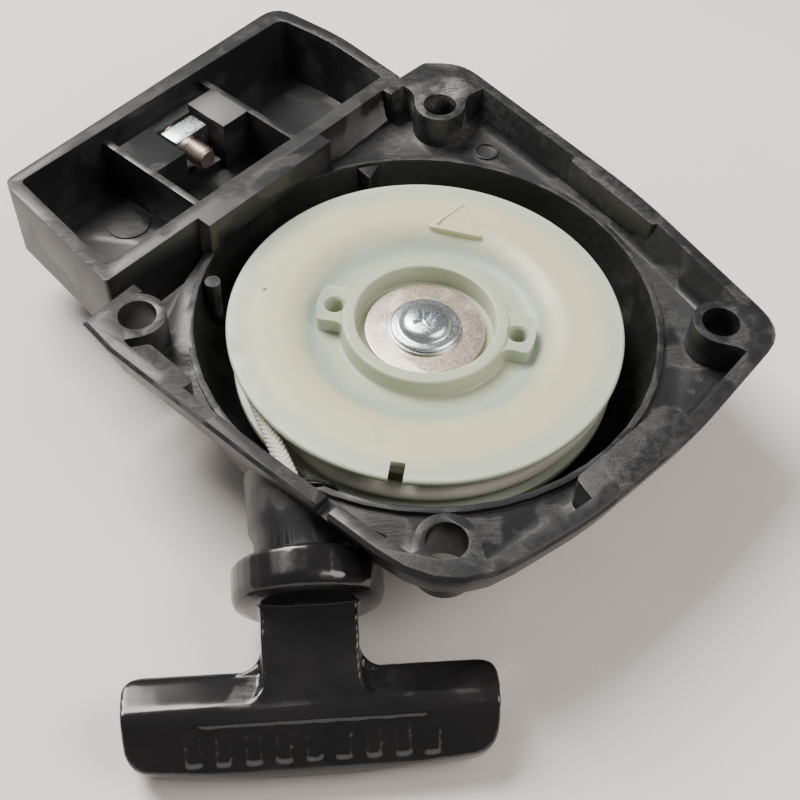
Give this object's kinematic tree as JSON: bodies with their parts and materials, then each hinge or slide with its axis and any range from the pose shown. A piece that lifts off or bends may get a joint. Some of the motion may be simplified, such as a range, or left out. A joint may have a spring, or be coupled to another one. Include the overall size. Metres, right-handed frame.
{
  "type": "recoil starter",
  "caption": "Pull-cord recoil starter for a small engine: case with side air duct, rope reel, return spring and T handle.",
  "frame": {"origin": "centre of the case's flat front face, on the reel axis", "axes": "+Z along the reel axis towards the engine, -Y along the rope pull seen from above, +X to the right of the handle"},
  "size_m": [0.1553, 0.1892, 0.0325],
  "materials": {
    "black_nylon": "satin glass-filled nylon, granular in patches, lightly scratched",
    "gloss_black": "glossy moulded",
    "reel_nylon": "translucent natural nylon",
    "rope_fibre": "braided cord",
    "spring_steel": "oiled spring strip",
    "blue_zinc": "blue-white zinc plate",
    "yellow_zinc": "yellow passivated zinc plate",
    "plain_steel": "turned steel"
  },
  "bodies": {
    "case": {"starter_case": "black_nylon", "centre_post": "plain_steel", "recoil_spring": "spring_steel", "thrust_washer": "plain_steel", "retaining_washer": "yellow_zinc", "screw_washer": "blue_zinc", "reel_screw": "blue_zinc", "rope_run": "rope_fibre", "rope_guide": "gloss_black", "cover_nut": "blue_zinc", "cover_screw": "yellow_zinc"},
    "reel": {"reel": "reel_nylon", "rope_wound": "rope_fibre", "rope_reel_knot": "rope_fibre"},
    "handle": {"handle": "gloss_black", "handle_cap": "gloss_black", "rope_outer": "rope_fibre", "rope_handle_knot": "rope_fibre"}
  },
  "joints": [
    {"name": "handle_pull", "type": "slide", "parent": "case", "child": "handle", "axis": [0, -0.9781, -0.2079], "range_m": [0, 0.62], "deforming": ["rope_run", "rope_outer"]},
    {"name": "reel_spin", "type": "hinge", "parent": "case", "child": "reel", "pos_m": [0, 0, 0.018], "axis": [0, 0, 1], "range_deg": [0, 1000], "stiffness_Nm_per_rad": 0.01, "springref_deg": -687.55, "deforming": ["recoil_spring", "rope_wound"]}
  ],
  "couplings": [
    {"joint": "reel_spin", "follows": "handle_pull", "rad_per_m": 27.972}
  ]
}
